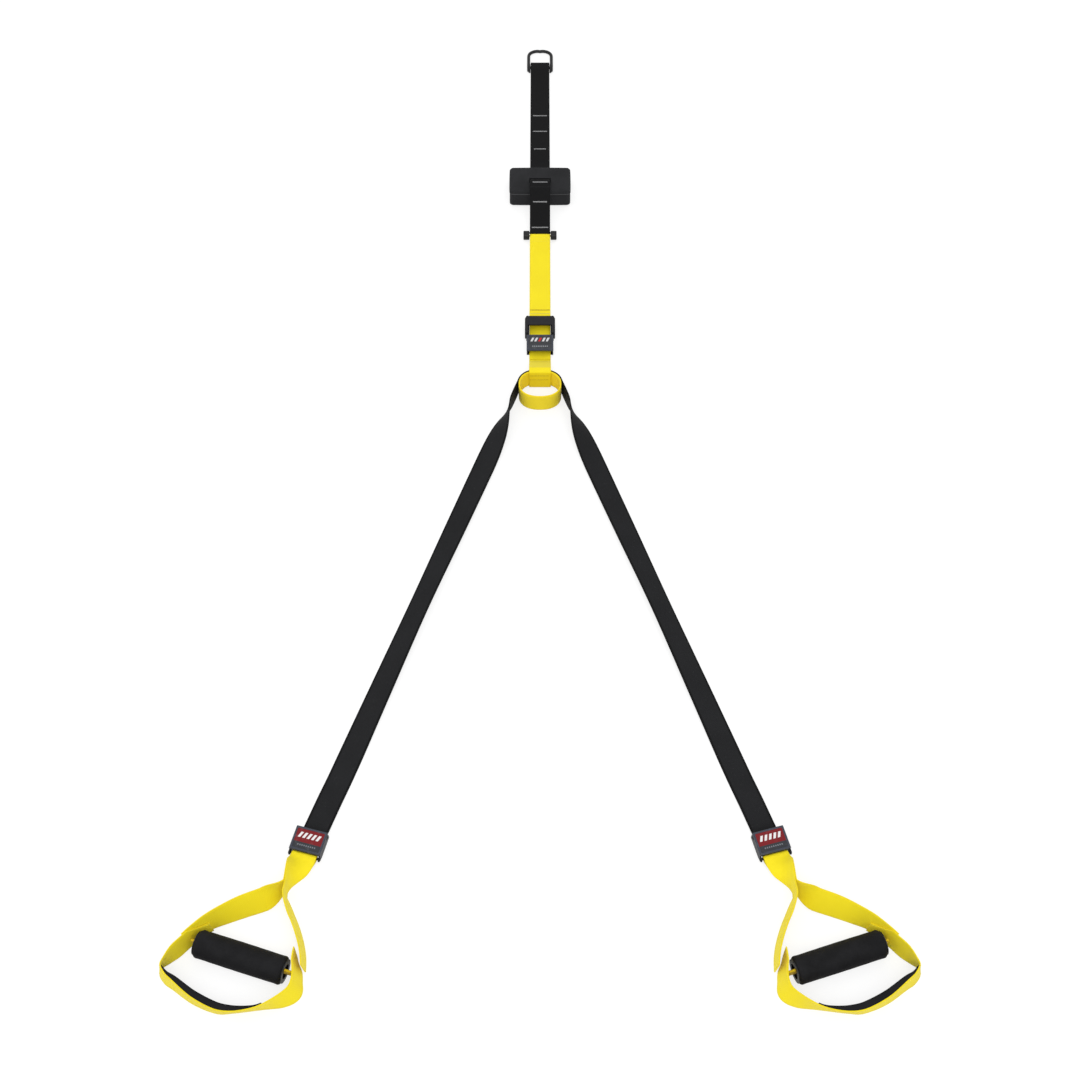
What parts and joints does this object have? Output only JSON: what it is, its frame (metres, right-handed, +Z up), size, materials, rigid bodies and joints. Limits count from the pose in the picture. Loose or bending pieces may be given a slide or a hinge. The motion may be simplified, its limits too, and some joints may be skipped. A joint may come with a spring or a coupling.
{
  "type": "suspension trainer",
  "caption": "Suspension trainer: webbing straps from a door anchor through cam buckles and a ring to padded foot-loop handles, laid out flat.",
  "frame": {"origin": "on the floor, under the centre of the laid-out trainer's bounding box", "axes": "+Z up from the floor, +Y along the middle straps to the anchor ring, +X across to the right as seen from the handles"},
  "size_m": [1.0624, 1.9574, 0.0434],
  "materials": {
    "black_webbing": "matte",
    "yellow_webbing": "matte",
    "pad_cover": "matte",
    "foam_block": "matte",
    "foot_pad": "matte",
    "grip_foam": "matte",
    "grip_tube": "satin",
    "black_plastic": "satin",
    "casting": "satin",
    "lever_plate": "satin",
    "steel": "satin"
  },
  "bodies": {
    "anchor": {"anchor_strap": "black_webbing", "door_pad_cover": "pad_cover", "door_pad_foam": "foam_block"},
    "anchor_ring": {"anchor_ring": "steel"},
    "link": {"link_pin_black": "steel", "link_pin_yellow": "steel", "link_knob_left": "black_plastic", "link_knob_right": "black_plastic"},
    "upper_strap": {"upper_main_strap": "yellow_webbing"},
    "centre_buckle": {"centre_buckle_frame": "casting", "centre_buckle_pivot_pin": "steel", "centre_buckle_spring": "steel", "centre_buckle_top_bar": "steel"},
    "centre_lever": {"centre_buckle_lever": "lever_plate"},
    "lower_strap": {"lower_main_strap": "yellow_webbing"},
    "yoke": {"sling_strap": "yellow_webbing", "stabiliser_ring": "yellow_webbing", "leg_strap_wrap": "black_webbing"},
    "leg_left": {"leg_strap_left": "black_webbing"},
    "leg_buckle_left": {"leg_buckle_left_frame": "casting", "leg_buckle_left_pivot_pin": "steel", "leg_buckle_left_spring": "steel", "leg_buckle_left_lower_bar": "steel"},
    "leg_lever_left": {"leg_buckle_left_lever": "lever_plate"},
    "handle_left": {"handle_strap_left": "yellow_webbing", "foot_strap_left": "yellow_webbing", "foot_pad_left": "foot_pad", "core_strap_left": "yellow_webbing"},
    "grip_left": {"grip_tube_left": "grip_tube", "grip_foam_left": "grip_foam", "grip_cap_outer_left": "black_plastic", "grip_cap_inner_left": "black_plastic"},
    "leg_right": {"leg_strap_right": "black_webbing"},
    "leg_buckle_right": {"leg_buckle_right_frame": "casting", "leg_buckle_right_pivot_pin": "steel", "leg_buckle_right_spring": "steel", "leg_buckle_right_lower_bar": "steel"},
    "leg_lever_right": {"leg_buckle_right_lever": "lever_plate"},
    "handle_right": {"handle_strap_right": "yellow_webbing", "foot_strap_right": "yellow_webbing", "foot_pad_right": "foot_pad", "core_strap_right": "yellow_webbing"},
    "grip_right": {"grip_tube_right": "grip_tube", "grip_foam_right": "grip_foam", "grip_cap_outer_right": "black_plastic", "grip_cap_inner_right": "black_plastic"}
  },
  "joints": [
    {"name": "anchor_ring_swing", "type": "hinge", "parent": "anchor", "child": "anchor_ring", "pos_m": [0, 0.92116, 0.0046], "axis": [1, 0, 0], "range_deg": [-150, 150]},
    {"name": "link_swing", "type": "hinge", "parent": "anchor", "child": "link", "pos_m": [0, 0.46586, 0.0084], "axis": [1, 0, 0], "range_deg": [-45, 60]},
    {"name": "upper_strap_swing", "type": "hinge", "parent": "link", "child": "upper_strap", "pos_m": [0, 0.45826, 0.0084], "axis": [1, 0, 0], "range_deg": [-70, 70]},
    {"name": "centre_buckle_tilt", "type": "hinge", "parent": "upper_strap", "child": "centre_buckle", "pos_m": [0, 0.25016, 0.0095], "axis": [-1, 0, 0], "range_deg": [0, 15]},
    {"name": "centre_lever_open", "type": "hinge", "parent": "centre_buckle", "child": "centre_lever", "pos_m": [0, 0.20841, 0.01], "axis": [-1, 0, 0], "range_deg": [0, 35], "stiffness_Nm_per_rad": 0.3, "springref_deg": -20.05},
    {"name": "lower_strap_slide", "type": "slide", "parent": "centre_buckle", "child": "lower_strap", "axis": [0, -1, 0], "range_m": [0, 0.13]},
    {"name": "yoke_swing", "type": "hinge", "parent": "lower_strap", "child": "yoke", "pos_m": [0, 0.16791, 0.0034], "axis": [1, 0, 0], "range_deg": [-45, 45]},
    {"name": "leg_spread_left", "type": "hinge", "parent": "yoke", "child": "leg_left", "pos_m": [-0.03802, 0.09511, 0], "axis": [0, 0, -1], "range_deg": [-16, 40]},
    {"name": "leg_buckle_slide_left", "type": "slide", "parent": "leg_left", "child": "leg_buckle_left", "axis": [0.3404, 0.9403, 0], "range_m": [-0.03, 0.02]},
    {"name": "leg_lever_open_left", "type": "hinge", "parent": "leg_buckle_left", "child": "leg_lever_left", "pos_m": [-0.33285, -0.71601, 0.01], "axis": [-0.9664, 0.2571, 0], "range_deg": [0, 35], "stiffness_Nm_per_rad": 0.3, "springref_deg": -20.05},
    {"name": "handle_lift_left", "type": "hinge", "parent": "leg_buckle_left", "child": "handle_left", "pos_m": [-0.34146, -0.74839, 0.0088], "axis": [-0.9664, 0.2571, 0], "range_deg": [0, 50]},
    {"name": "grip_spin_left", "type": "hinge", "parent": "handle_left", "child": "grip_left", "pos_m": [-0.47974, -0.87921, 0.02], "axis": [0.9544, -0.2985, 0], "continuous": true},
    {"name": "leg_spread_right", "type": "hinge", "parent": "yoke", "child": "leg_right", "pos_m": [0.03802, 0.09511, 0], "axis": [0, 0, 1], "range_deg": [-16, 40]},
    {"name": "leg_buckle_slide_right", "type": "slide", "parent": "leg_right", "child": "leg_buckle_right", "axis": [-0.3404, 0.9403, 0], "range_m": [-0.03, 0.02]},
    {"name": "leg_lever_open_right", "type": "hinge", "parent": "leg_buckle_right", "child": "leg_lever_right", "pos_m": [0.33285, -0.71601, 0.01], "axis": [-0.9664, -0.2571, 0], "range_deg": [0, 35], "stiffness_Nm_per_rad": 0.3, "springref_deg": -20.05},
    {"name": "handle_lift_right", "type": "hinge", "parent": "leg_buckle_right", "child": "handle_right", "pos_m": [0.34146, -0.74839, 0.0088], "axis": [-0.9664, -0.2571, 0], "range_deg": [0, 50]},
    {"name": "grip_spin_right", "type": "hinge", "parent": "handle_right", "child": "grip_right", "pos_m": [0.47974, -0.87921, 0.02], "axis": [-0.9544, -0.2985, 0], "continuous": true}
  ]
}
